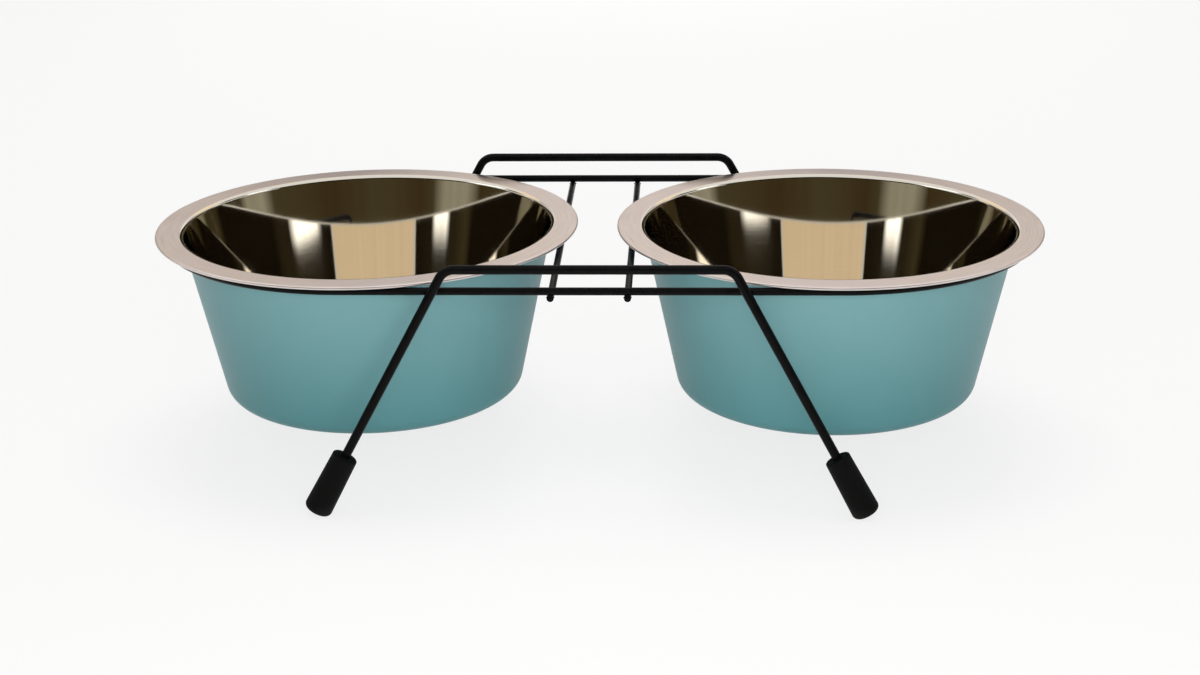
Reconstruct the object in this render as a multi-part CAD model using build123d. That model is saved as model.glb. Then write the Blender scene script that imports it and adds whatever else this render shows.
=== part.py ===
from build123d import *
import os
from math import acos, cos, degrees, radians, sin, sqrt, tan

# Double pet bowl: two pressed steel bowls that lift out of a welded wire stand on rubber feet.
# Millimetres and degrees, +Z up. The origin is on the floor, below the middle of the stand.
# +X runs from the left bowl to the right bowl, and the front of the stand faces -Y.

# Bowls
rim_diameter = 160.0
rim_width = 10.2  # from the mouth to the outer edge of the rim
rim_height = 83.2  # from the floor to the top of the rim
bowl_height = 65.5  # from the underside of the base to the top of the rim
sheet = 0.6
wall_draft = 12.1
heel_radius = 6.5  # outside, between the base and the wall
throat_radius = 1.0  # outside, between the wall and the rim
curl_diameter = 1.2  # tightly rolled outer edge of the rim
base_ring_width = 8.0  # flat ring that a bowl stands on when it is out of the stand
base_rise = 1.0  # how far the middle of the base is pressed up inside that ring
base_step_radius = 2.0

# Wires of the stand
rail_wire = 2.8
leg_wire = 3.3
cross_wire = 2.5
weld_sink = 0.2  # how far two crossing wires melt into each other
wire_end_chamfer = 0.3

# Seats of the bowls
rim_gap = 15.0  # between the two rims
seat_gap = 0.3  # between the rolled edge of the rim and the rail that it hangs on
seat_play = 4.0  # between the wall of a bowl and the rail round it
cross_inset = 1.1  # by which a cross wire lies nearer to the axis of its bowl than the rail

# Legs
bar_rise = 8.5  # from the rail up to the bar between two legs, along the plane of the legs
leg_bend_radius = 6.0
leg_spread = 28.5  # sideways, from straight down
leg_lean = 5.0  # of the plane of the legs, outwards at the floor
leg_rim_clearance = 3.5  # between a leg and the rim beside it, front to back
cross_overhang = 1.0  # of a cross wire past the middle of the rail

# Feet
foot_length = 23.2
foot_wall = 2.9  # of rubber round the wire, at the mouth of the foot
foot_flare = 0.5  # by which the foot grows in radius towards its sole
foot_sole = 6.0  # of rubber below the end of the wire
foot_sole_round = 2.0
foot_mouth_round = 0.6
foot_clearance = 0.05  # between the wire and the bore of the foot
foot_flat = 0.5  # depth of the flat that the foot stands on

# Places that follow from the sizes above
rim_radius = rim_diameter / 2
mouth_radius = rim_radius - rim_width
bowl_spacing = rim_diameter + rim_gap
rim_underside = rim_height - sheet
base_underside = rim_height - bowl_height
rail_height = rim_height - curl_diameter - seat_gap - rail_wire / 2


def wall_radius(height):
    """Outside radius of a bowl's wall at a height above the floor."""
    slope = tan(radians(wall_draft))
    return mouth_radius + sheet / cos(radians(wall_draft)) - (rim_height - height) * slope


rail_radius = wall_radius(rail_height) + seat_play + rail_wire / 2
cross_place = bowl_spacing / 2 - rail_radius + cross_inset
cross_height = rail_height - (rail_wire + cross_wire) / 2 + weld_sink
leg_place = rail_radius + (rail_wire + leg_wire) / 2 - weld_sink
foot_bore_radius = leg_wire / 2 + foot_clearance
foot_mouth_radius = foot_bore_radius + foot_wall
foot_sole_radius = foot_mouth_radius + foot_flare

# Each leg stands as far out as the rim beside it allows.
rim_reach = leg_place - leg_wire / 2 - leg_rim_clearance
leg_crossing = bowl_spacing / 2 - sqrt(rim_radius**2 - rim_reach**2)
bar_corner = leg_crossing - bar_rise * tan(radians(leg_spread))

# A leg is followed down its axis from the corner at the bar to the middle of the sole.
leg_tilt = degrees(acos(cos(radians(leg_spread)) * cos(radians(leg_lean))))
sole_drop = (foot_sole_radius - foot_sole_round) * sin(radians(leg_tilt))
sole_height = sole_drop + foot_sole_round * (1 - cos(radians(leg_tilt))) - foot_flat
corner_height = rail_height + bar_rise * cos(radians(leg_lean))
leg_length = (corner_height - sole_height) / cos(radians(leg_tilt))
leg_end = leg_length - foot_sole - foot_clearance

# The plane of the front legs: its own Y runs up the plane, from the rail.
lean_up = Vector(0, sin(radians(leg_lean)), cos(radians(leg_lean)))
leg_plane = Plane(
    origin=(0, -leg_place, rail_height),
    x_dir=(1, 0, 0),
    z_dir=Vector(1, 0, 0).cross(lean_up),
)


def leg_point(along):
    """Point on the axis of the front right leg, in the leg plane, at a distance from the bar."""
    sideways = along * sin(radians(leg_spread))
    down = along * cos(radians(leg_spread))
    return Vector(bar_corner + sideways, bar_rise - down)


def mirrored(point):
    """The same point of the leg plane on the left leg."""
    return Vector(-point.X, point.Y)


def bent_wire(path, diameter):
    """Round wire that follows a path."""
    section = Plane(origin=path @ 0, z_dir=path % 0) * Circle(diameter / 2)
    return sweep(section, path=path)


def bowl():
    """Pressed bowl, open at the top, whose flat rim ends in a rolled edge."""
    base_radius = wall_radius(base_underside)
    ring_inside = base_radius - heel_radius - base_ring_width
    curl_center = rim_radius - curl_diameter / 2
    underside = FilletPolyline(
        (0, base_underside + base_rise),
        (ring_inside - base_step_radius, base_underside + base_rise),
        (ring_inside, base_underside),
        (base_radius, base_underside),
        (wall_radius(rim_underside), rim_underside),
        (curl_center, rim_underside),
        radius=[base_step_radius, base_step_radius, heel_radius, throat_radius],
    )
    pressing = make_face(offset(underside, amount=sheet, side=Side.LEFT, closed=True))
    curl = Pos(curl_center, rim_height - curl_diameter / 2) * Circle(curl_diameter / 2)
    return revolve(Plane.XZ * (pressing + curl), Axis.Z)


def bowl_rail():
    """Closed loop of wire that both rims hang on: two straights and two half circles."""
    loop = SlotCenterToCenter(bowl_spacing, 2 * rail_radius).wire()
    return bent_wire(Pos(0, 0, rail_height) * loop, rail_wire)


def cross_rod():
    """Straight wire below the rail, from front to back, that closes a bowl's seat."""
    rod = Cylinder(cross_wire / 2, 2 * (rail_radius + cross_overhang), rotation=(90, 0, 0))
    return chamfer(rod.edges().filter_by(GeomType.CIRCLE), wire_end_chamfer)


def front_legs():
    """Both front legs and the bar between them, bent from one wire."""
    corner = leg_point(0)
    end = leg_point(leg_end)
    path = FilletPolyline(mirrored(end), mirrored(corner), corner, end, radius=leg_bend_radius)
    return bent_wire(leg_plane * path, leg_wire)


def front_right_foot():
    """Rubber foot pushed onto the end of a leg, with a flat where it stands on the floor."""
    outline = FilletPolyline(
        (0, 0),
        (foot_sole_radius, 0),
        (foot_mouth_radius, foot_length),
        (foot_bore_radius, foot_length),
        (foot_bore_radius, foot_sole),
        (0, foot_sole),
        radius=[0, foot_sole_round, foot_mouth_round, 0, 0, 0],
        close=True,
    )
    upright = revolve(Plane.XZ * make_face(outline), Axis.Z)
    sole = leg_plane.from_local_coords(leg_point(leg_length))
    corner = leg_plane.from_local_coords(leg_point(0))
    on_leg = Plane(origin=sole, z_dir=corner - sole) * upright
    return split(on_leg, bisect_by=Plane.XY, keep=Keep.TOP)


left = Pos(-bowl_spacing / 2, 0, 0)
right = Pos(bowl_spacing / 2, 0, 0)
one_bowl = bowl()
one_cross_wire = cross_rod()
front_leg_wire = front_legs()
right_foot = front_right_foot()
left_foot = mirror(right_foot, about=Plane.YZ)

nodes = {
    "left_bowl": left * one_bowl,
    "right_bowl": right * one_bowl,
    "bowl_rail": bowl_rail(),
    "left_cross_wire": Pos(-cross_place, 0, cross_height) * one_cross_wire,
    "right_cross_wire": Pos(cross_place, 0, cross_height) * one_cross_wire,
    "front_leg_wire": front_leg_wire,
    "rear_leg_wire": mirror(front_leg_wire, about=Plane.XZ),
    "front_left_foot": left_foot,
    "front_right_foot": right_foot,
    "rear_left_foot": mirror(left_foot, about=Plane.XZ),
    "rear_right_foot": mirror(right_foot, about=Plane.XZ),
}

os.makedirs("parts", exist_ok=True)
for name, shape in nodes.items():
    export_step(shape, f"parts/{name}.step")
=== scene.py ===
import math

import bmesh
import bpy
from mathutils import Matrix, Vector


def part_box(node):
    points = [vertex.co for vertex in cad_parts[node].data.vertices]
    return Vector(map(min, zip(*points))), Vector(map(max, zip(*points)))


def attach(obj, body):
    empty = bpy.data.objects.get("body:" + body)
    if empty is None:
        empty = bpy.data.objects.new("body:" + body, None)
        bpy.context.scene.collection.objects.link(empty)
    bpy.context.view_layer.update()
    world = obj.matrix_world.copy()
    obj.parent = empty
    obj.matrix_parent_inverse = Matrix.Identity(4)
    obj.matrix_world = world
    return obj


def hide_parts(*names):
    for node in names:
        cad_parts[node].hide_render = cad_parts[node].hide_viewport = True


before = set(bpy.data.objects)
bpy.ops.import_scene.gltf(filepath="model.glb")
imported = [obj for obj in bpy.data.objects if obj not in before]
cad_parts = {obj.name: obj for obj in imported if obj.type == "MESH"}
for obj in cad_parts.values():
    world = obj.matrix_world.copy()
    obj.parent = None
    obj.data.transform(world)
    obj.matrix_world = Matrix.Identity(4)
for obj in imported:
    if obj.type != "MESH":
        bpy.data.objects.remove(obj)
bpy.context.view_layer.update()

# Two pressed steel bowls hang in a welded wire stand on rubber feet.
# Metres, +Z up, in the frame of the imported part. Sizes that boxes of the frame give are read from it.
MM = 0.001

# Bowls
RIM_WIDTH = 10.2 * MM
SHEET = 0.6 * MM
WALL_DRAFT = math.radians(12.1)
HEEL_RADIUS = 6.5 * MM
THROAT_RADIUS = 1.0 * MM
CURL_RADIUS = 0.6 * MM
CURL_TURN = math.radians(270)
CURL_STEPS = 20
BASE_RING_WIDTH = 8.0 * MM
BASE_RISE = 1.0 * MM
BASE_STEP_RADIUS = 2.0 * MM
BOWL_SEGMENTS = 288

# Wires
LEG_WIRE = 3.3 * MM
LEG_BEND_RADIUS = 6.0 * MM
LEG_SPREAD = math.radians(28.5)
LEG_LEAN = math.radians(5.0)
RAIL_END_STEPS = 72
WIRE_SIDES = 32
WIRE_END_ROUND = 0.35 * MM
WIRE_END_STEPS = 4

# Welds between crossing wires. The ripple is the sum of two waves round the weld.
WELD_WAIST = 0.95 * MM
WELD_FLARE = 0.55 * MM
WELD_HALF_HEIGHT = 0.75 * MM
WELD_RIPPLE = 0.08 * MM
WELD_WAVES = (3, 5)
WELD_STEPS = 12
WELD_SEGMENTS = 32

# Feet
FOOT_LENGTH = 23.2 * MM
FOOT_MOUTH_RADIUS = 4.6 * MM
FOOT_SOLE_RADIUS = 5.1 * MM
FOOT_SOLE_THICKNESS = 6.05 * MM
FOOT_SOLE_ROUND = 2.0 * MM
FOOT_MOUTH_ROUND = 0.6 * MM
FOOT_LIP_ROUND = 0.15 * MM
FOOT_SEGMENTS = 96

# Smoothness of the meshes
ARC_STEP = math.radians(5.0)
SHARP_ANGLE = math.radians(40)
SUPPORT_SPAN = 2.0 * MM
SUPPORT_GAP = 0.05 * MM
FLATNESS = 0.001 * MM

# Paint. Its colour goes from the low colour at the base to the high colour at the rim. This is partly the
# paint's own tone, partly painted shade towards the base and painted light near the rim.
ENAMEL_BASE_TONE_AND_SHADE = (0.098, 0.278, 0.302)
ENAMEL_RIM_TONE_AND_LIGHT = (0.192, 0.380, 0.408)
ENAMEL_GLOSS = 0.15
ENAMEL_ROUGHNESS = (0.34, 0.46)
ENAMEL_CLOUD = {"Scale": 55.0, "Detail": 4.0}
ENAMEL_CLOUD_SPAN = 0.16
ENAMEL_GRAIN = {"Scale": 900.0}
ENAMEL_BUMP = {"Strength": 0.10, "Distance": 0.05 * MM}

# Steel. Its lines run round a bowl: ACROSS is how close they lie, AROUND is how often they change, and
# STRETCH is how far they draw out the gloss.
RIM_DARK = (0.67, 0.60, 0.575)
RIM_LIGHT = (0.85, 0.765, 0.735)
RIM_STRETCH = 0.75
RIM_ROUGHNESS = (0.24, 0.36)
RIM_ACROSS = 2600.0
RIM_AROUND = 5.0
RIM_LINES = {"Scale": 1.0, "Detail": 4.0, "Roughness": 0.6}
RIM_BUMP = {"Strength": 0.10, "Distance": 0.02 * MM}
POLISH_DARK = (0.675, 0.635, 0.555)
POLISH_LIGHT = (0.705, 0.665, 0.585)
POLISH_STRETCH = 0.3
POLISH_STRETCH_TURN = 0.25
POLISH_ROUGHNESS = (0.02, 0.06)
POLISH_ACROSS = 2200.0
POLISH_AROUND = 3.0
POLISH_LINES = {"Scale": 1.0, "Detail": 5.0, "Roughness": 0.6}
POLISH_BUMP = {"Strength": 0.03, "Distance": 0.01 * MM}
LINES_FROM = 0.25
LINES_TO = 0.75

# Black coating of the wires
COATING_DARK = (0.0014, 0.0014, 0.0016)
COATING_LIGHT = (0.0036, 0.0036, 0.0039)
COATING_GLOSS = 0.07
COATING_ROUGHNESS = (0.24, 0.40)
COATING_CLOUD = {"Scale": 260.0, "Detail": 4.0}
COATING_CLOUD_FROM = 0.3
COATING_CLOUD_TO = 0.7
COATING_GRAIN = {"Scale": 1400.0, "Detail": 3.0}
COATING_BUMP = {"Strength": 0.18, "Distance": 0.06 * MM}

# Rubber of the feet, with dust near the floor
RUBBER_CLEAN = (0.0032, 0.0030, 0.0030)
RUBBER_DUSTY = (0.024, 0.0226, 0.0212)
RUBBER_GLOSS = 0.08
RUBBER_ROUGHNESS = (0.55, 0.75)
RUBBER_GRAIN = {"Scale": 1800.0, "Detail": 4.0, "Roughness": 0.65}
RUBBER_BUMP = {"Strength": 0.3, "Distance": 0.08 * MM}
DUST_HEIGHT = 5 * MM
DUST_SHARE = 0.55
DUST_FULL = 0.6

# Camera, at the place from which the object was photographed
CAMERA_TARGET = Vector((0.00035, 0.0, 0.0369))
CAMERA_DISTANCE = 0.80
CAMERA_ELEVATION = math.radians(19.4)
CAMERA_YAW = math.radians(2.54)
CAMERA_ROLL = math.radians(-0.74)
CAMERA_LENS = 62.0
CAMERA_SENSOR = 36.0
CAMERA_CLIP_START = 0.01

# Stage. Places round the object are angles in degrees: 0 behind it, 90 at its right, 180 at the camera.
WHITE = (1, 1, 1, 1)
WORLD_LIGHT = 0.34
FLOOR_SIZE = 12.0
FLOOR_COLOR = (0.86, 0.86, 0.86, 1)
FLOOR_WHITE_SHARE = 0.79

# Lamps: name, angles round the object and above the floor, distance, size, power
LAMP_COLOR = (1.0, 0.97, 0.93)
LAMPS = (
    ("top_softbox", (0, 78), 1.8, (1.2, 1.0), 17.0),
    ("left_softbox", (-165, 16), 0.70, (0.30, 0.30), 0.45),
    ("right_softbox", (172, 16), 0.54, (0.26, 0.26), 1.08),
    ("back_softbox", (0, 14), 1.3, (0.50, 0.40), 1.8),
)

# Studio flats: glowing cards, no lamps, that light no matte surface and show only in polished surfaces,
# where they paint reflections and highlights.
# Columns: name, angles of the edges above the floor, rise of the last end over the first, height of the fade
# above the lower edge, and colours at angles round the object. Each stands nearer than the last.
NIGHT = (0.014, 0.010, 0.005)
SHADE = (0.038, 0.030, 0.014)
UMBER = (0.060, 0.040, 0.015)
OLIVE = (0.080, 0.064, 0.030)
STONE = (0.38, 0.35, 0.255)
ROSE = (0.74, 0.69, 0.67)
PEARL = (1.22, 1.17, 1.15)
BEIGE = (1.33, 1.10, 0.81)
PAINTED_HIGHLIGHT_GLOW = (3.6, 3.65, 3.8)
FLAT_DISTANCE = 14.0
FLAT_STEP = 0.6
FLAT_COLUMNS = 48
FLAT_STREAKS = 9.0
FLAT_DIM_SHARE = 0.8
FLATS = (
    ("warm_flat", (26, 36), 0, 0, ((-58, BEIGE), (52, BEIGE))),
    ("right_dark_flat", (23, 36), 0, 0, ((55, NIGHT), (98, SHADE), (112, SHADE))),
    ("front_dark_flat", (12, 36), 0, 0, (
        (112, SHADE), (128, OLIVE), (138, NIGHT), (218, NIGHT), (228, SHADE), (248, SHADE),
    )),
    ("left_dark_flat", (23, 36), 0, 0, ((248, SHADE), (256, SHADE), (300, NIGHT))),
    ("room_flat", (0.5, 12), 0, 0, (
        (55, UMBER), (82, OLIVE), (88, STONE), (100, STONE), (108, OLIVE), (150, UMBER), (180, OLIVE),
        (208, UMBER), (216, OLIVE), (224, STONE), (240, STONE), (250, UMBER), (275, OLIVE), (300, UMBER),
    )),
    ("horizon_flat", (0.5, 15.3), 0, 0, ((-58, SHADE), (55, SHADE))),
    ("backdrop_flat", (15.3, 26), 0, 0, (
        (-58, ROSE), (-14, ROSE), (-3, PEARL), (3, PEARL), (14, ROSE), (55, ROSE),
    )),
    # The two glow flats paint the highlights in the bowls that the lamps, hidden from polished surfaces,
    # would give
    ("left_glow_flat", (26.25, 34), 4.15, 0.8, ((-118, NIGHT), (-108, PAINTED_HIGHLIGHT_GLOW), (-80, PAINTED_HIGHLIGHT_GLOW), (-72, NIGHT))),
    ("right_glow_flat", (28.3, 36), -2.35, 2.2, ((78, NIGHT), (83, PAINTED_HIGHLIGHT_GLOW), (98, PAINTED_HIGHLIGHT_GLOW), (104, NIGHT))),
)

# Places read from the frame
bowl_low, bowl_high = (Vector(corner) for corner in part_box("right_bowl"))
rim_radius = (bowl_high.x - bowl_low.x) / 2
bowl_place = (bowl_high.x + bowl_low.x) / 2
rim_top = bowl_high.z
base_bottom = bowl_low.z
rail_low, rail_high = (Vector(corner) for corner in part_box("bowl_rail"))
rail_wire = rail_high.z - rail_low.z
rail_height = (rail_high.z + rail_low.z) / 2
rail_radius = rail_high.y - rail_wire / 2
cross_low, cross_high = (Vector(corner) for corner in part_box("right_cross_wire"))
cross_wire = cross_high.x - cross_low.x
cross_place = (cross_high.x + cross_low.x) / 2
cross_height = (cross_high.z + cross_low.z) / 2
leg_low, leg_high = (Vector(corner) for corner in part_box("rear_leg_wire"))
bar_height = leg_high.z - LEG_WIRE / 2
bar_place = leg_low.y + LEG_WIRE / 2


# Mesh helpers

def rounded(points, radii):
    """Points of a line whose inner corners are rounded by arcs of the given radii."""
    line = [points[0]]
    for before, corner, after, radius in zip(points, points[1:], points[2:], radii):
        back = (before - corner).normalized()
        ahead = (after - corner).normalized()
        half = back.angle(ahead) / 2
        center = corner + (back + ahead).normalized() * radius / math.sin(half)
        start = corner + back * radius / math.tan(half) - center
        turn = math.pi - 2 * half
        axis = ahead.cross(back)
        steps = max(2, math.ceil(turn / ARC_STEP))
        for step in range(steps + 1):
            line.append(center + Matrix.Rotation(turn * step / steps, 3, axis) @ start)
    line.append(points[-1])
    return line


def with_supports(line):
    """The line with points close to the ends of its long straights, which smooth shading then keeps flat."""
    supported = [line[0]]
    for before, after in zip(line, line[1:]):
        along = after - before
        if along.length > SUPPORT_SPAN:
            supported.append(before + along.normalized() * SUPPORT_GAP)
            supported.append(after - along.normalized() * SUPPORT_GAP)
        supported.append(after)
    return supported


def beside(line, distance):
    """The same line in the XY plane, moved to its left."""
    moved = []
    for index, point in enumerate(line):
        ahead = line[min(index + 1, len(line) - 1)]
        behind = line[max(index - 1, 0)]
        along = (ahead - behind).normalized()
        moved.append(point + Vector((-along.y, along.x, 0)) * distance)
    return moved


def new_piece(name, bm, materials):
    """Object made from a bmesh, shaded smooth except at its real edges."""
    bmesh.ops.recalc_face_normals(bm, faces=bm.faces)
    mesh = bpy.data.meshes.new(name)
    bm.to_mesh(mesh)
    bm.free()
    mesh.shade_smooth()
    mesh.set_sharp_from_angle(angle=SHARP_ANGLE)
    for material in materials:
        mesh.materials.append(material)
    piece = bpy.data.objects.new(name, mesh)
    bpy.context.collection.objects.link(piece)
    return piece


def lathe(profile, bands, segments, swell=None):
    """Closed surface of revolution about Z whose profile, in X and Y, starts and ends on the axis.

    bands gives the material of the band after each profile point. swell(angle) adds to the radii.
    """
    bm = bmesh.new()
    rings = []
    for point in profile[1:-1]:
        ring = []
        for segment in range(segments):
            angle = 2 * math.pi * segment / segments
            radius = point.x + (swell(angle) if swell else 0)
            ring.append(bm.verts.new((radius * math.cos(angle), radius * math.sin(angle), point.y)))
        rings.append(ring)
    first = bm.verts.new((0, 0, profile[0].y))
    last = bm.verts.new((0, 0, profile[-1].y))
    for segment in range(segments):
        after = (segment + 1) % segments
        bm.faces.new((first, rings[0][segment], rings[0][after])).material_index = bands[0]
        bm.faces.new((last, rings[-1][after], rings[-1][segment])).material_index = bands[-1]
        for band, (low, high) in zip(bands[1:], zip(rings, rings[1:])):
            face = bm.faces.new((low[segment], high[segment], high[after], low[after]))
            face.material_index = band
    return bm


def path_frames(path, closed):
    """Point, direction and two sides square to it, at each point of a path."""
    frames = []
    side = None
    last = len(path) - 1
    for index, point in enumerate(path):
        ahead = path[(index + 1) % len(path)] if closed else path[min(index + 1, last)]
        behind = path[index - 1] if closed else path[max(index - 1, 0)]
        along = (ahead - behind).normalized()
        if side is None:
            side = along.orthogonal().normalized()
        side = (side - along * side.dot(along)).normalized()
        frames.append((point, along, side, along.cross(side)))
    return frames


def wire_ring(bm, place, radius, shift=0):
    """Ring of points round a place on a path, moved along it by a shift."""
    point, along, side, other_side = place
    ring = []
    for step in range(WIRE_SIDES):
        angle = 2 * math.pi * step / WIRE_SIDES
        spoke = side * math.cos(angle) + other_side * math.sin(angle)
        ring.append(bm.verts.new(point + along * shift + spoke * radius))
    return ring


def end_rings(bm, place, radius, inward):
    """Rings of a wire's rounded end, from its face to its full width.

    inward is 1 at the start of the wire's path and -1 at its end.
    """
    rings = []
    for step in range(WIRE_END_STEPS + 1):
        angle = math.pi / 2 * step / WIRE_END_STEPS
        shrink = WIRE_END_ROUND * (1 - math.sin(angle))
        shift = WIRE_END_ROUND * (1 - math.cos(angle)) * inward
        rings.append(wire_ring(bm, place, radius - shrink, shift))
    return rings


def tube(path, radius, closed=False):
    """Round wire along a path, with softly rounded ends if it is open."""
    bm = bmesh.new()
    frames = path_frames(path, closed)
    if closed:
        rings = [wire_ring(bm, place, radius) for place in frames]
        pairs = list(zip(rings, rings[1:] + rings[:1]))
    else:
        rings = end_rings(bm, frames[0], radius, 1)
        rings += [wire_ring(bm, place, radius) for place in frames[1:-1]]
        rings += reversed(end_rings(bm, frames[-1], radius, -1))
        pairs = list(zip(rings, rings[1:]))
    for low, high in pairs:
        for step in range(WIRE_SIDES):
            after = (step + 1) % WIRE_SIDES
            bm.faces.new((low[step], low[after], high[after], high[step]))
    if not closed:
        bm.faces.new(reversed(rings[0]))
        bm.faces.new(rings[-1])
    return bm


# Material helpers

def new_material(name, **inputs):
    """Node material with a Principled shader whose sockets hold the given values."""
    material = bpy.data.materials.new(name)
    material.use_nodes = True
    shader = material.node_tree.nodes["Principled BSDF"]
    for socket, value in inputs.items():
        shader.inputs[socket.replace("_", " ")].default_value = value
    return material, material.node_tree, shader


def bare_material(name):
    """Node material without a shader."""
    material = bpy.data.materials.new(name)
    material.use_nodes = True
    tree = material.node_tree
    tree.nodes.remove(tree.nodes["Principled BSDF"])
    return material, tree


def add_node(tree, kind, links=None, values=None, **settings):
    """Node with settings, socket values, and links into its sockets from other nodes' sockets."""
    node = tree.nodes.new(kind)
    for name, value in settings.items():
        setattr(node, name, value)
    for socket, value in (values or {}).items():
        node.inputs[socket].default_value = value
    for socket, source in (links or {}).items():
        tree.links.new(source, node.inputs[socket])
    return node


def add_math(tree, operation, links, values=None):
    """Result of a Math node."""
    return add_node(tree, "ShaderNodeMath", links, values, operation=operation).outputs[0]


def object_point(tree):
    """Point of the surface in the object's own coordinates."""
    return add_node(tree, "ShaderNodeTexCoord").outputs["Object"]


def object_height(tree):
    """Height of the surface above the floor when the part is at rest."""
    return add_node(tree, "ShaderNodeSeparateXYZ", {0: object_point(tree)}).outputs["Z"]


def round_point(tree, across, around):
    """Object point turned into distances across and round the Z axis, for marks that run round it."""
    flat = add_node(
        tree, "ShaderNodeVectorMath", {0: object_point(tree)}, {1: (1, 1, 0)}, operation="MULTIPLY"
    )
    radius = add_node(tree, "ShaderNodeVectorMath", {0: flat.outputs[0]}, operation="LENGTH")
    heading = add_node(tree, "ShaderNodeVectorMath", {0: flat.outputs[0]}, operation="NORMALIZE")
    reach = add_math(tree, "ADD", {0: radius.outputs["Value"], 1: object_height(tree)})
    spread = add_math(tree, "MULTIPLY", {0: reach}, {1: across})
    turned = add_node(
        tree, "ShaderNodeVectorMath", {0: heading.outputs[0]}, {"Scale": around}, operation="SCALE"
    )
    parts = add_node(tree, "ShaderNodeSeparateXYZ", {0: turned.outputs[0]})
    joined = add_node(
        tree,
        "ShaderNodeCombineXYZ",
        {"X": parts.outputs["X"], "Y": parts.outputs["Y"], "Z": spread},
    )
    return joined.outputs[0]


def noise(tree, point, settings):
    """Value of a noise texture at a point."""
    return add_node(tree, "ShaderNodeTexNoise", {"Vector": point}, settings).outputs["Fac"]


def add_bump(tree, shader, height, settings):
    """Bump in a shader's normal."""
    bump = add_node(tree, "ShaderNodeBump", {"Height": height}, settings)
    tree.links.new(bump.outputs["Normal"], shader.inputs["Normal"])


def add_round_tangent(tree, shader):
    """Shader's tangent that runs round the Z axis, as turning and polishing marks do."""
    tangent = add_node(tree, "ShaderNodeTangent", direction_type="RADIAL", axis="Z")
    tree.links.new(tangent.outputs[0], shader.inputs["Tangent"])


def spread_value(tree, source, low, high):
    """Value from 0 to 1 mapped to a range."""
    values = {"To Min": low, "To Max": high}
    return add_node(tree, "ShaderNodeMapRange", {"Value": source}, values).outputs["Result"]


def spread_color(tree, source, stops):
    """Value mapped to colours at given places."""
    ramp = add_node(tree, "ShaderNodeValToRGB", {"Fac": source})
    elements = ramp.color_ramp.elements
    for element, (place, color) in zip(elements, (stops[0], stops[-1])):
        element.position = place
        element.color = (*color, 1)
    for place, color in stops[1:-1]:
        elements.new(place).color = (*color, 1)
    return ramp.outputs["Color"]


def set_look(tree, shader, color, roughness):
    """Shader's colour and roughness from other nodes' sockets."""
    tree.links.new(color, shader.inputs["Base Color"])
    tree.links.new(roughness, shader.inputs["Roughness"])


# Materials

def enamel():
    """Satin blue-green paint, a little darker and greener towards the base and lighter near the rim. The
    change is partly its own tone and partly painted shade and painted light.
    """
    material, tree, shader = new_material("enamel", Specular_IOR_Level=ENAMEL_GLOSS)
    point = object_point(tree)
    limits = {"From Min": base_bottom, "From Max": rim_top}
    rise = add_node(tree, "ShaderNodeMapRange", {"Value": object_height(tree)}, limits).outputs["Result"]
    cloud = noise(tree, point, ENAMEL_CLOUD)
    factor_and_shift = {1: ENAMEL_CLOUD_SPAN, 2: -ENAMEL_CLOUD_SPAN / 2}
    uneven = add_math(tree, "MULTIPLY_ADD", {0: cloud}, factor_and_shift)
    shade = add_math(tree, "ADD", {0: rise, 1: uneven})
    # Painted shade towards the base and painted light towards the rim, mixed with the paint's own tone
    color = spread_color(tree, shade, ((0.0, ENAMEL_BASE_TONE_AND_SHADE), (1.0, ENAMEL_RIM_TONE_AND_LIGHT)))
    set_look(tree, shader, color, spread_value(tree, cloud, *ENAMEL_ROUGHNESS))
    add_bump(tree, shader, noise(tree, point, ENAMEL_GRAIN), ENAMEL_BUMP)
    return material


def rim_steel():
    """Bare satin steel, brushed round the rim."""
    material, tree, shader = new_material("rim_steel", Metallic=1.0, Anisotropic=RIM_STRETCH)
    lines = noise(tree, round_point(tree, RIM_ACROSS, RIM_AROUND), RIM_LINES)
    color = spread_color(tree, lines, ((LINES_FROM, RIM_DARK), (LINES_TO, RIM_LIGHT)))
    set_look(tree, shader, color, spread_value(tree, lines, *RIM_ROUGHNESS))
    add_round_tangent(tree, shader)
    add_bump(tree, shader, lines, RIM_BUMP)
    return material


def polished_steel():
    """Mirror-polished steel with faint marks round the bowl from the polishing wheel."""
    material, tree, shader = new_material(
        "polished_steel",
        Metallic=1.0,
        Anisotropic=POLISH_STRETCH,
        Anisotropic_Rotation=POLISH_STRETCH_TURN,
    )
    lines = noise(tree, round_point(tree, POLISH_ACROSS, POLISH_AROUND), POLISH_LINES)
    color = spread_color(tree, lines, ((LINES_FROM, POLISH_DARK), (LINES_TO, POLISH_LIGHT)))
    set_look(tree, shader, color, spread_value(tree, lines, *POLISH_ROUGHNESS))
    add_round_tangent(tree, shader)
    add_bump(tree, shader, lines, POLISH_BUMP)
    return material


def black_coating():
    """Black dipped coating on the wires, slightly uneven."""
    material, tree, shader = new_material("black_coating", Specular_IOR_Level=COATING_GLOSS)
    point = object_point(tree)
    cloud = noise(tree, point, COATING_CLOUD)
    color = spread_color(
        tree, cloud, ((COATING_CLOUD_FROM, COATING_DARK), (COATING_CLOUD_TO, COATING_LIGHT))
    )
    set_look(tree, shader, color, spread_value(tree, cloud, *COATING_ROUGHNESS))
    add_bump(tree, shader, noise(tree, point, COATING_GRAIN), COATING_BUMP)
    return material


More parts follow.
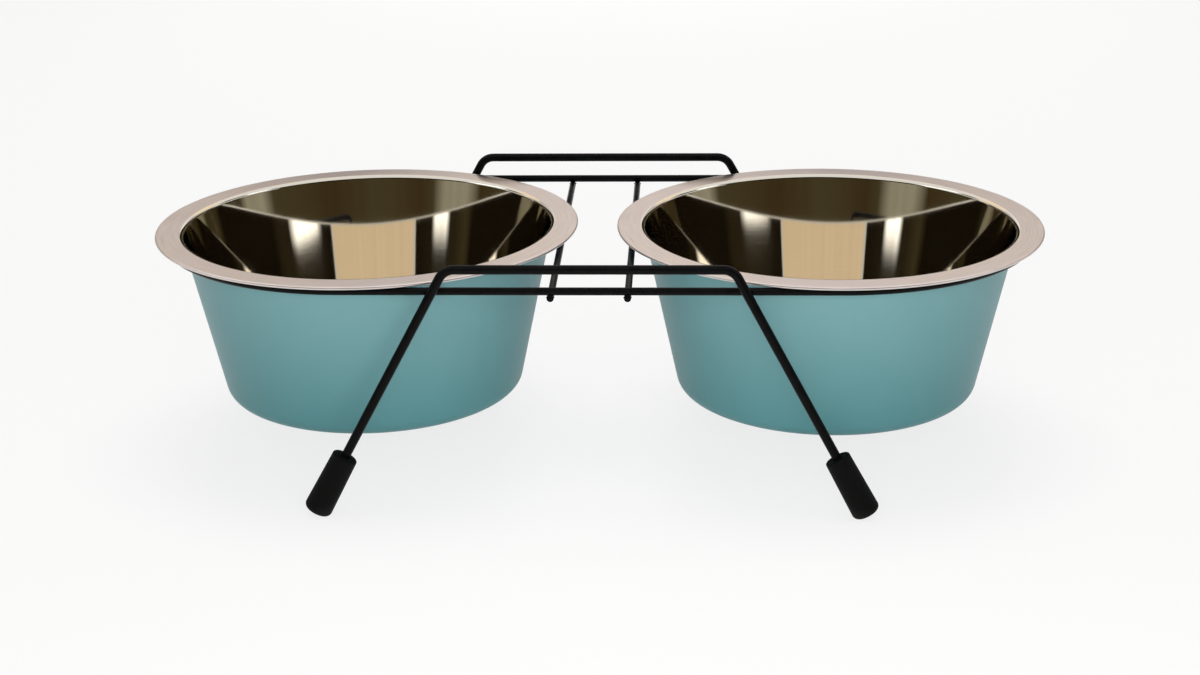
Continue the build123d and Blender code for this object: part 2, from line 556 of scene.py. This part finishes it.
def rubber():
    """Matte black moulded rubber, dusty where it meets the floor."""
    material, tree, shader = new_material("rubber", Specular_IOR_Level=RUBBER_GLOSS)
    grain = noise(tree, object_point(tree), RUBBER_GRAIN)
    limits = {"From Min": 0.0, "From Max": DUST_HEIGHT, "To Min": DUST_SHARE, "To Max": 0.0}
    dust = add_node(tree, "ShaderNodeMapRange", {"Value": object_height(tree)}, limits).outputs["Result"]
    patches = add_math(tree, "MULTIPLY", {0: dust, 1: grain})
    color = spread_color(tree, patches, ((0.0, RUBBER_CLEAN), (DUST_FULL, RUBBER_DUSTY)))
    set_look(tree, shader, color, spread_value(tree, grain, *RUBBER_ROUGHNESS))
    add_bump(tree, shader, grain, RUBBER_BUMP)
    return material


POLISHED, RIM, PAINTED = range(3)
bowl_materials = [polished_steel(), rim_steel(), enamel()]
coating = black_coating()
foot_rubber = rubber()


# Pieces

def wall_radius(height):
    """Outside radius of a bowl's wall at a height above the floor."""
    top = rim_radius - RIM_WIDTH + SHEET / math.cos(WALL_DRAFT)
    return top - (rim_top - height) * math.tan(WALL_DRAFT)


def bowl_underside():
    """Outline of a bowl's painted side, from the middle of the base to the rolled edge."""
    rim_underside = rim_top - SHEET
    base_radius = wall_radius(base_bottom)
    ring_inside = base_radius - HEEL_RADIUS - BASE_RING_WIDTH
    corners = [
        Vector((0, base_bottom + BASE_RISE, 0)),
        Vector((ring_inside - BASE_STEP_RADIUS, base_bottom + BASE_RISE, 0)),
        Vector((ring_inside, base_bottom, 0)),
        Vector((base_radius, base_bottom, 0)),
        Vector((wall_radius(rim_underside), rim_underside, 0)),
        Vector((rim_radius - CURL_RADIUS, rim_underside, 0)),
    ]
    radii = (BASE_STEP_RADIUS, BASE_STEP_RADIUS, HEEL_RADIUS, THROAT_RADIUS)
    return with_supports(rounded(corners, radii))


def rolled_edge():
    """Outline of the rolled edge, from the top of the rim round to its underside."""
    center = Vector((rim_radius - CURL_RADIUS, rim_top - CURL_RADIUS, 0))
    outline = []
    for step in range(1, CURL_STEPS):
        angle = math.pi / 2 - CURL_TURN * step / CURL_STEPS
        outline.append(center + Vector((math.cos(angle), math.sin(angle), 0)) * CURL_RADIUS)
    return outline


def make_bowl(side, sign):
    """One bowl: polished inside, bare brushed rim with a rolled edge, painted outside."""
    outside = bowl_underside()
    inside = beside(outside, SHEET)
    outside[-1] = Vector((rim_radius - 2 * CURL_RADIUS, rim_top - SHEET, 0))
    curl = rolled_edge()
    profile = inside + curl + outside[::-1]
    flange_start = min(index for index, point in enumerate(inside) if point.y > rim_top - FLATNESS)
    rim_bands = len(inside) + len(curl) - flange_start
    bands = [POLISHED] * flange_start + [RIM] * rim_bands + [PAINTED] * (len(outside) - 1)
    piece = new_piece(f"{side}_bowl_pressing", lathe(profile, bands, BOWL_SEGMENTS), bowl_materials)
    piece.location.x = sign * bowl_place
    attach(piece, f"{side}_bowl")
    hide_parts(f"{side}_bowl")


def make_wire(name, path, diameter, node, closed=False):
    """One coated wire of the stand."""
    piece = new_piece(name, tube(path, diameter / 2, closed), [coating])
    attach(piece, "stand")
    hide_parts(node)


def rail_path():
    """Closed loop: a half circle round each bowl, joined by straights at the front and back."""
    path = []
    for sign in (1, -1):
        for step in range(RAIL_END_STEPS + 1):
            angle = sign * math.pi / 2 - math.pi * step / RAIL_END_STEPS
            x = sign * bowl_place + rail_radius * math.cos(angle)
            path.append(Vector((x, rail_radius * math.sin(angle), rail_height)))
    return path


def cross_path(sign):
    """Straight line from front to back beside one bowl."""
    return [Vector((sign * cross_place, y, cross_height)) for y in (cross_low.y, 0, cross_high.y)]


def leg_axis():
    """Corner at the bar, direction down the axis and length of the rear right leg."""
    down = Vector((
        math.sin(LEG_SPREAD),
        math.cos(LEG_SPREAD) * math.sin(LEG_LEAN),
        -math.cos(LEG_SPREAD) * math.cos(LEG_LEAN),
    ))
    tilt = math.acos(-down.z)
    end_height = leg_low.z + LEG_WIRE / 2 * math.sin(tilt)
    end_place = leg_high.x - LEG_WIRE / 2 * math.sqrt(1 - down.x**2)
    length = (end_height - bar_height) / down.z
    corner = Vector((end_place - down.x * length, bar_place, bar_height))
    return corner, down, length


def to_left(point):
    """The same point on the left half of the stand."""
    return Vector((-point.x, point.y, point.z))


def to_front(point):
    """The same point on the front half of the stand."""
    return Vector((point.x, -point.y, point.z))


def rear_leg_path():
    """Both rear legs and the bar between them, as one bent line."""
    corner, down, length = leg_axis()
    end = corner + down * length
    corners = [to_left(end), to_left(corner), corner, end]
    return rounded(corners, (LEG_BEND_RADIUS, LEG_BEND_RADIUS))


def make_weld(name, point, normal):
    """Small fillet of weld metal between two crossing wires."""
    profile = [Vector((0, -WELD_HALF_HEIGHT, 0))]
    for step in range(WELD_STEPS + 1):
        place = 2 * step / WELD_STEPS - 1
        profile.append(Vector((WELD_WAIST + WELD_FLARE * place**2, WELD_HALF_HEIGHT * place, 0)))
    profile.append(Vector((0, WELD_HALF_HEIGHT, 0)))

    def ripple(angle):
        """Uneven swelling that differs from weld to weld."""
        first, second = WELD_WAVES
        waves = math.sin(first * angle + point.x / MM) + math.sin(second * angle + point.y / MM)
        return WELD_RIPPLE * waves / 2

    bm = lathe(profile, [0] * (len(profile) - 1), WELD_SEGMENTS, ripple)
    turn = normal.to_track_quat("Z", "Y").to_matrix().to_4x4()
    bmesh.ops.transform(bm, matrix=Matrix.Translation(point) @ turn, verts=bm.verts)
    piece = new_piece(name, bm, [coating])
    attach(piece, "stand")


def make_welds(end, depth, side, sign):
    """Welds where one leg and one end of a cross wire meet the rail."""
    corner, down, _ = leg_axis()
    crossing = corner + down * (rail_height - bar_height) / down.z
    on_leg = Vector((sign * crossing.x, depth * (rail_radius + rail_wire / 2), rail_height))
    make_weld(f"{end}_{side}_leg_weld", on_leg, Vector((0, 1, 0)))
    on_cross = Vector((sign * cross_place, depth * rail_radius, rail_height - rail_wire / 2))
    make_weld(f"{end}_{side}_cross_weld", on_cross, Vector((0, 0, 1)))


def foot_profile():
    """Outline of a foot from the middle of its sole to the wire in its mouth."""
    wire_radius = LEG_WIRE / 2
    lip_height = FOOT_LENGTH - FOOT_MOUTH_ROUND
    corners = [
        Vector((0, 0, 0)),
        Vector((FOOT_SOLE_RADIUS, 0, 0)),
        Vector((FOOT_MOUTH_RADIUS, FOOT_LENGTH, 0)),
        Vector((wire_radius, FOOT_LENGTH, 0)),
        Vector((wire_radius, lip_height, 0)),
    ]
    outline = rounded(corners, (FOOT_SOLE_ROUND, FOOT_MOUTH_ROUND, FOOT_LIP_ROUND))
    return outline + [Vector((0, lip_height, 0))]


def make_foot(name, sign, depth):
    """Rubber foot on the end of a leg, flat where it stands on the floor."""
    corner, down, length = leg_axis()
    sole = corner + down * (length + FOOT_SOLE_THICKNESS)
    profile = foot_profile()
    bm = lathe(profile, [0] * (len(profile) - 1), FOOT_SEGMENTS)
    turn = (-down).to_track_quat("Z", "Y").to_matrix().to_4x4()
    bmesh.ops.transform(bm, matrix=Matrix.Translation(sole) @ turn, verts=bm.verts)
    bmesh.ops.scale(bm, vec=(sign, depth, 1), verts=bm.verts)
    everything = bm.verts[:] + bm.edges[:] + bm.faces[:]
    cut = bmesh.ops.bisect_plane(
        bm, geom=everything, plane_co=(0, 0, 0), plane_no=(0, 0, 1), clear_inner=True
    )
    edges = [item for item in cut["geom_cut"] if isinstance(item, bmesh.types.BMEdge)]
    bmesh.ops.contextual_create(bm, geom=edges)
    piece = new_piece(f"{name}_rubber", bm, [foot_rubber])
    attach(piece, "stand")
    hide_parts(name)


SIDES = (("left", -1), ("right", 1))
ENDS = (("front", -1), ("rear", 1))
for side, sign in SIDES:
    make_bowl(side, sign)
    make_wire(f"{side}_cross_rod", cross_path(sign), cross_wire, f"{side}_cross_wire")
    for end, depth in ENDS:
        make_foot(f"{end}_{side}_foot", sign, depth)
make_wire("bowl_rail_loop", rail_path(), rail_wire, "bowl_rail", closed=True)
make_wire("rear_leg_bend", rear_leg_path(), LEG_WIRE, "rear_leg_wire")
front_leg_path = [to_front(point) for point in rear_leg_path()]
make_wire("front_leg_bend", front_leg_path, LEG_WIRE, "front_leg_wire")
for end, depth in ENDS:
    for side, sign in SIDES:
        make_welds(end, depth, side, sign)


# Stage

def seen_or_mirrored(tree):
    """1 for rays from the camera, and for those that a mirror or glass sends on."""
    path = add_node(tree, "ShaderNodeLightPath").outputs
    either = add_math(tree, "MAXIMUM", {0: path["Is Camera Ray"], 1: path["Is Glossy Ray"]})
    return add_math(tree, "MAXIMUM", {0: either, 1: path["Is Transmission Ray"]})


def make_world():
    """World that is white in the picture and lights the set less strongly."""
    world = bpy.data.worlds.new("studio")
    bpy.context.scene.world = world
    world.use_nodes = True
    tree = world.node_tree
    background = tree.nodes["Background"]
    background.inputs["Color"].default_value = WHITE
    strength = spread_value(tree, seen_or_mirrored(tree), WORLD_LIGHT, 1.0)
    tree.links.new(strength, background.inputs["Strength"])


def make_floor():
    """White floor that keeps the object's shadow."""
    material, tree = bare_material("white_floor")
    matte = add_node(tree, "ShaderNodeBsdfDiffuse", values={"Color": FLOOR_COLOR})
    white = add_node(tree, "ShaderNodeEmission", values={"Color": WHITE, "Strength": 1.0})
    share = add_math(tree, "MULTIPLY", {0: seen_or_mirrored(tree)}, {1: FLOOR_WHITE_SHARE})
    mix = add_node(
        tree, "ShaderNodeMixShader", {0: share, 1: matte.outputs[0], 2: white.outputs[0]}
    )
    tree.links.new(mix.outputs[0], tree.nodes["Material Output"].inputs["Surface"])
    bm = bmesh.new()
    bmesh.ops.create_grid(bm, x_segments=1, y_segments=1, size=FLOOR_SIZE / 2)
    new_piece("floor", bm, [material])


def outward(turn, rise):
    """Direction from the object, by angles round it and above the floor in degrees."""
    turn = math.radians(turn)
    rise = math.radians(rise)
    return Vector((math.sin(turn) * math.cos(rise), math.cos(turn) * math.cos(rise), math.sin(rise)))


def make_lamp(name, angles, distance, size, power):
    """Soft lamp that faces the object and shows neither in the picture nor in polished surfaces."""
    lamp = bpy.data.lights.new(name, "AREA")
    lamp.shape = "RECTANGLE"
    lamp.size, lamp.size_y = size
    lamp.energy = power
    lamp.color = LAMP_COLOR
    holder = bpy.data.objects.new(name, lamp)
    away = outward(*angles)
    holder.location = CAMERA_TARGET + away * distance
    holder.rotation_euler = away.to_track_quat("Z", "Y").to_euler()
    holder.visible_camera = False
    holder.visible_glossy = False
    bpy.context.collection.objects.link(holder)


def flat_material(name, fade_share, stops):
    """Glowing material whose colour changes along the flat, with faint upright streaks."""
    material, tree = bare_material(name)
    uv = add_node(tree, "ShaderNodeTexCoord").outputs["UV"]
    place = add_node(tree, "ShaderNodeSeparateXYZ", {0: uv}).outputs
    first, last = stops[0][0], stops[-1][0]
    shares = [((angle - first) / (last - first), color) for angle, color in stops]
    color = spread_color(tree, place["X"], shares)
    turn = spread_value(tree, place["X"], math.radians(first), math.radians(last))
    streaks = add_node(
        tree, "ShaderNodeTexNoise", {"W": turn}, {"Scale": FLAT_STREAKS}, noise_dimensions="1D"
    )
    strength = spread_value(tree, streaks.outputs["Fac"], FLAT_DIM_SHARE, 1.0)
    if fade_share:
        fade = add_node(
            tree,
            "ShaderNodeMapRange",
            {"Value": place["Y"]},
            {"From Max": fade_share},
            interpolation_type="SMOOTHSTEP",
        )
        strength = add_math(tree, "MULTIPLY", {0: strength, 1: fade.outputs["Result"]})
    emission = add_node(tree, "ShaderNodeEmission", {"Color": color, "Strength": strength})
    tree.links.new(emission.outputs[0], tree.nodes["Material Output"].inputs["Surface"])
    return material


def make_flat(distance, name, rises, tilt, fade, stops):
    """Curved glowing studio flat, no lamp, that stands round the set, lights no matte surface and shows in
    polished surfaces only, where it paints reflections.

    tilt is by how much its last end stands higher than its first. It fades in above its lower edge.
    """
    first, last = stops[0][0], stops[-1][0]
    bm = bmesh.new()
    uv = bm.loops.layers.uv.new("place")
    columns = []
    for step in range(FLAT_COLUMNS + 1):
        share = step / FLAT_COLUMNS
        turn = first + (last - first) * share
        edges = [outward(turn, rise + tilt * share) * distance for rise in rises]
        columns.append([bm.verts.new(CAMERA_TARGET + edge) for edge in edges])
    for step, (before, after) in enumerate(zip(columns, columns[1:])):
        face = bm.faces.new((before[0], after[0], after[1], before[1]))
        corners = ((step, 0), (step + 1, 0), (step + 1, 1), (step, 1))
        for loop, (column, height) in zip(face.loops, corners):
            loop[uv].uv = (column / FLAT_COLUMNS, height)
    material = flat_material(name, fade / (rises[1] - rises[0]), stops)
    flat = new_piece(name, bm, [material])
    flat.visible_camera = False
    flat.visible_diffuse = False
    flat.visible_shadow = False


def make_camera():
    """Camera that looks at the object from the photographed angle."""
    camera = bpy.data.cameras.new("camera")
    camera.lens = CAMERA_LENS
    camera.sensor_width = CAMERA_SENSOR
    camera.clip_start = CAMERA_CLIP_START
    holder = bpy.data.objects.new("camera", camera)
    back = Vector((
        math.sin(CAMERA_YAW) * math.cos(CAMERA_ELEVATION),
        -math.cos(CAMERA_YAW) * math.cos(CAMERA_ELEVATION),
        math.sin(CAMERA_ELEVATION),
    ))
    right = Vector((math.cos(CAMERA_YAW), math.sin(CAMERA_YAW), 0))
    up = back.cross(right)
    turn = Matrix((right, up, back)).transposed() @ Matrix.Rotation(CAMERA_ROLL, 3, "Z")
    holder.matrix_world = Matrix.Translation(CAMERA_TARGET + back * CAMERA_DISTANCE) @ turn.to_4x4()
    bpy.context.collection.objects.link(holder)
    bpy.context.scene.camera = holder


make_world()
make_floor()
for lamp in LAMPS:
    make_lamp(*lamp)
for order, flat in enumerate(FLATS):
    make_flat(FLAT_DISTANCE - order * FLAT_STEP, *flat)
make_camera()
bpy.context.scene.view_settings.view_transform = "Standard"
